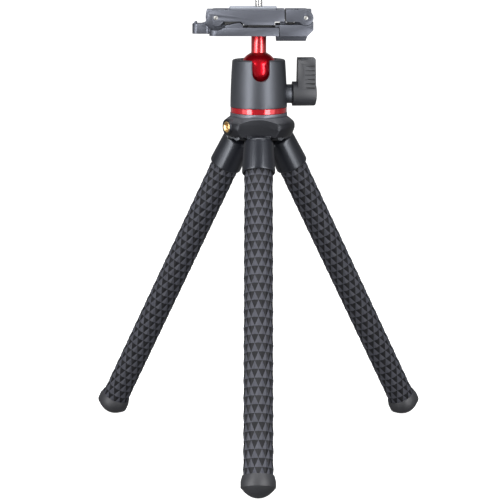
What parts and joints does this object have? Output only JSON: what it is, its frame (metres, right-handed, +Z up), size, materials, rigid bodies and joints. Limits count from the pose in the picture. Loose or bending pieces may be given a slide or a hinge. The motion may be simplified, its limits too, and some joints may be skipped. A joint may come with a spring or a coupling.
{
  "type": "flexible leg tripod",
  "caption": "Tabletop tripod with studded bendable legs hinged to a lobed hub, a ball head with a drop slot and lock knob, and a folding phone clamp that doubles as a camera plate.",
  "frame": {"origin": "on the floor under the column axis, as the tripod stands", "axes": "+Z up along the column and the camera screw, -Y towards leg 1 at the front, +X to the right"},
  "size_m": [0.2792, 0.2452, 0.3637],
  "materials": {
    "hub_metal": "satin black",
    "housing_metal": "fine satin grey",
    "clamp_metal": "satin slate",
    "collar_metal": "satin dark grey",
    "red_metal": "polished red anodised",
    "steel": "bright",
    "brass": "bright",
    "seat_plastic": "matte",
    "knob_plastic": "matte",
    "sleeve_rubber": "matte",
    "foot_rubber": "matte",
    "core_metal": "dark",
    "grip_rubber": "matte",
    "pad_rubber": "matte"
  },
  "bodies": {
    "base": {"hub_body": "hub_metal", "accessory_insert": "brass", "head_bolt": "steel", "pan_base": "housing_metal", "accent_ring": "red_metal", "leg_pin_1": "steel", "leg_pin_2": "steel", "leg_pin_3": "steel"},
    "head": {"head_housing": "housing_metal", "ball_seat": "seat_plastic", "knob_collar": "housing_metal"},
    "knob": {"lock_knob": "knob_plastic", "knob_stud": "steel"},
    "ball": {"ball_stem": "red_metal", "stem_screw": "steel"},
    "plate": {"clamp_base": "clamp_metal", "long_arm_pin": "steel"},
    "arm_long": {"long_arm": "clamp_metal", "long_arm_grip": "grip_rubber", "top_pad": "pad_rubber"},
    "screw": {"camera_screw": "steel"},
    "jaw": {"clamp_slide": "clamp_metal", "guide_rod_front": "steel", "guide_rod_back": "steel", "short_arm_pin": "steel"},
    "arm_short": {"short_arm": "clamp_metal", "short_arm_grip": "grip_rubber"},
    "leg_1_root": {"leg_1_collar": "collar_metal", "leg_1_core_1": "core_metal", "leg_1_sleeve_1": "sleeve_rubber"},
    "leg_1_upper": {"leg_1_core_2": "core_metal", "leg_1_sleeve_2": "sleeve_rubber"},
    "leg_1_lower": {"leg_1_core_3": "core_metal", "leg_1_sleeve_3": "sleeve_rubber"},
    "leg_1_tip": {"leg_1_core_4": "core_metal", "leg_1_sleeve_4": "sleeve_rubber", "leg_1_foot": "foot_rubber"},
    "leg_2_root": {"leg_2_collar": "collar_metal", "leg_2_core_1": "core_metal", "leg_2_sleeve_1": "sleeve_rubber"},
    "leg_2_upper": {"leg_2_core_2": "core_metal", "leg_2_sleeve_2": "sleeve_rubber"},
    "leg_2_lower": {"leg_2_core_3": "core_metal", "leg_2_sleeve_3": "sleeve_rubber"},
    "leg_2_tip": {"leg_2_core_4": "core_metal", "leg_2_sleeve_4": "sleeve_rubber", "leg_2_foot": "foot_rubber"},
    "leg_3_root": {"leg_3_collar": "collar_metal", "leg_3_core_1": "core_metal", "leg_3_sleeve_1": "sleeve_rubber"},
    "leg_3_upper": {"leg_3_core_2": "core_metal", "leg_3_sleeve_2": "sleeve_rubber"},
    "leg_3_lower": {"leg_3_core_3": "core_metal", "leg_3_sleeve_3": "sleeve_rubber"},
    "leg_3_tip": {"leg_3_core_4": "core_metal", "leg_3_sleeve_4": "sleeve_rubber", "leg_3_foot": "foot_rubber"}
  },
  "joints": [
    {"name": "head_pan", "type": "hinge", "parent": "base", "child": "head", "pos_m": [0, 0, 0.27286], "axis": [0, 0, 1], "continuous": true},
    {"name": "knob_turn", "type": "hinge", "parent": "head", "child": "knob", "pos_m": [0, 0, 0.28746], "axis": [0.9962, 0.0872, 0], "range_deg": [-100, 20]},
    {"name": "ball_tilt", "type": "hinge", "parent": "head", "child": "ball", "pos_m": [0, 0, 0.30676], "axis": [0.9962, 0.0872, 0], "range_deg": [-30, 90]},
    {"name": "plate_turn", "type": "hinge", "parent": "ball", "child": "plate", "pos_m": [0, 0, 0.33446], "axis": [0, 0, 1], "continuous": true},
    {"name": "long_arm_fold", "type": "hinge", "parent": "plate", "child": "arm_long", "pos_m": [-0.0337, 0, 0.34876], "axis": [0, -1, 0], "range_deg": [0, 90]},
    {"name": "camera_screw_turn", "type": "hinge", "parent": "arm_long", "child": "screw", "pos_m": [0, 0, 0.35666], "axis": [0, 0, 1], "continuous": true},
    {"name": "jaw_slide", "type": "slide", "parent": "plate", "child": "jaw", "axis": [1, 0, 0], "range_m": [0, 0.03], "stiffness_N_per_m": 200, "springref_m": -0.02},
    {"name": "short_arm_fold", "type": "hinge", "parent": "jaw", "child": "arm_short", "pos_m": [0.037, 0, 0.34876], "axis": [0, 1, 0], "range_deg": [0, 90]},
    {"name": "leg_1_hinge", "type": "hinge", "parent": "base", "child": "leg_1_root", "pos_m": [0, -0.0165, 0.25606], "axis": [-1, 0, 0], "range_deg": [-28, 5]},
    {"name": "leg_1_bend_1", "type": "hinge", "parent": "leg_1_root", "child": "leg_1_upper", "pos_m": [0, -0.05832, 0.17741], "axis": [1, 0, 0], "range_deg": [-30, 30]},
    {"name": "leg_1_bend_2", "type": "hinge", "parent": "leg_1_upper", "child": "leg_1_lower", "pos_m": [0, -0.08768, 0.12219], "axis": [0, 0.8829, -0.4695], "range_deg": [-30, 30]},
    {"name": "leg_1_bend_3", "type": "hinge", "parent": "leg_1_lower", "child": "leg_1_tip", "pos_m": [0, -0.11705, 0.06696], "axis": [1, 0, 0], "range_deg": [-30, 30]},
    {"name": "leg_2_hinge", "type": "hinge", "parent": "base", "child": "leg_2_root", "pos_m": [0.01429, 0.00825, 0.25606], "axis": [0.5, -0.866, 0], "range_deg": [-28, 5]},
    {"name": "leg_2_bend_1", "type": "hinge", "parent": "leg_2_root", "child": "leg_2_upper", "pos_m": [0.05051, 0.02916, 0.17741], "axis": [-0.5, 0.866, 0], "range_deg": [-30, 30]},
    {"name": "leg_2_bend_2", "type": "hinge", "parent": "leg_2_upper", "child": "leg_2_lower", "pos_m": [0.07594, 0.04384, 0.12219], "axis": [-0.7647, -0.4415, -0.4695], "range_deg": [-30, 30]},
    {"name": "leg_2_bend_3", "type": "hinge", "parent": "leg_2_lower", "child": "leg_2_tip", "pos_m": [0.10137, 0.05853, 0.06696], "axis": [-0.5, 0.866, 0], "range_deg": [-30, 30]},
    {"name": "leg_3_hinge", "type": "hinge", "parent": "base", "child": "leg_3_root", "pos_m": [-0.01429, 0.00825, 0.25606], "axis": [0.5, 0.866, 0], "range_deg": [-28, 5]},
    {"name": "leg_3_bend_1", "type": "hinge", "parent": "leg_3_root", "child": "leg_3_upper", "pos_m": [-0.05051, 0.02916, 0.17741], "axis": [-0.5, -0.866, 0], "range_deg": [-30, 30]},
    {"name": "leg_3_bend_2", "type": "hinge", "parent": "leg_3_upper", "child": "leg_3_lower", "pos_m": [-0.07594, 0.04384, 0.12219], "axis": [0.7647, -0.4415, -0.4695], "range_deg": [-30, 30]},
    {"name": "leg_3_bend_3", "type": "hinge", "parent": "leg_3_lower", "child": "leg_3_tip", "pos_m": [-0.10137, 0.05853, 0.06696], "axis": [-0.5, -0.866, 0], "range_deg": [-30, 30]}
  ]
}
